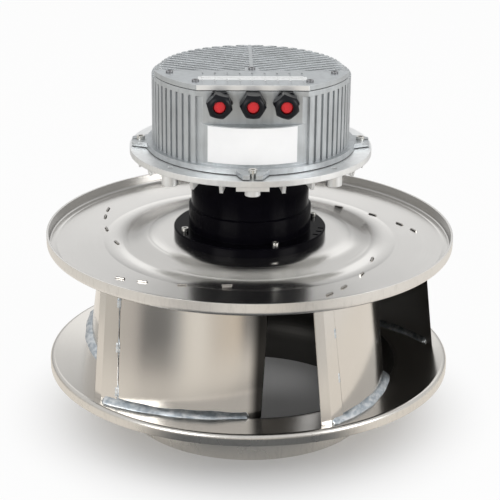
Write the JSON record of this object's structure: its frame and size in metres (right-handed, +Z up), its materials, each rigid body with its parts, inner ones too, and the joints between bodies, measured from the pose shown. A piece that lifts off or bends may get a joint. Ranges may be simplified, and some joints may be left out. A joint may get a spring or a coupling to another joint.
{
  "type": "plug fan",
  "caption": "Plug fan: external-rotor motor with finned electronics housing, cable glands and mounting flange over a shrouded impeller with backward-curved blades.",
  "frame": {"origin": "centre of the inlet rim, on the plane that the fan stands on", "axes": "+Z up along the shaft towards the electronics housing, -Y towards the gland side, +X to the right seen from the gland side"},
  "size_m": [0.5, 0.5, 0.4519],
  "materials": {
    "cast_flange": "bright die-cast aluminium",
    "cast_housing": "die-cast aluminium, satin",
    "cast_lid": "die-cast aluminium, satin",
    "plate_sheet": "rolled aluminium sheet, satin",
    "blade_sheet": "rolled aluminium sheet, satin",
    "shroud_sheet": "spun aluminium sheet, satin",
    "rotor_black": "gloss black paint",
    "steel": "ground steel",
    "screw_steel": "zinc-plated steel",
    "seal": "black rubber",
    "gland_black": "black moulded plastic",
    "plug_red": "red moulded plastic",
    "plate_white": "white, bare",
    "board_green": "green board lacquer",
    "post_brass": "turned brass",
    "can_dark": "sleeved can",
    "module_black": "moulded black",
    "copper": "enamelled copper wire",
    "terminal_green": "moulded green",
    "stack_iron": "stacked electrical sheet",
    "insulation_ivory": "moulded ivory",
    "magnet": "ferrite"
  },
  "bodies": {
    "motor": {"motor_flange": "cast_flange", "bearing_tube": "steel", "flange_seal": "seal", "bearing_cap": "steel", "electronics_housing": "cast_housing", "housing_screws": "screw_steel", "terminal_lid": "cast_lid", "lid_seal": "seal", "lid_screws": "screw_steel", "gland_bodies": "gland_black", "gland_caps": "gland_black", "gland_plugs": "plug_red", "gland_locknuts": "gland_black", "bare_plate": "plate_white", "power_board": "board_green", "board_posts": "post_brass", "capacitors": "can_dark", "power_module": "module_black", "line_choke": "copper", "terminal_blocks": "terminal_green", "stator_core": "stack_iron", "coil_insulation": "insulation_ivory", "stator_coils": "copper", "upper_outer_ring": "steel", "lower_outer_ring": "steel", "spring_washer": "steel", "retaining_ring": "steel"},
    "impeller": {"shaft": "steel", "upper_inner_ring": "steel", "lower_inner_ring": "steel", "rotor_cup": "rotor_black", "rotor_magnets": "magnet", "foot_screws": "screw_steel", "foot_nuts": "screw_steel", "back_plate": "plate_sheet", "blade_1": "blade_sheet", "blade_2": "blade_sheet", "blade_3": "blade_sheet", "blade_4": "blade_sheet", "blade_5": "blade_sheet", "shroud": "shroud_sheet"},
    "ball_sets": {"upper_balls": "steel", "lower_balls": "steel"}
  },
  "joints": [
    {"name": "rotor_spin", "type": "hinge", "parent": "motor", "child": "impeller", "pos_m": [0, 0, 0.3], "axis": [0, 0, 1], "continuous": true},
    {"name": "balls_roll", "type": "hinge", "parent": "motor", "child": "ball_sets", "pos_m": [0, 0, 0.3], "axis": [0, 0, 1], "continuous": true}
  ],
  "couplings": [
    {"joint": "balls_roll", "follows": "rotor_spin", "ratio": 0.3961}
  ]
}
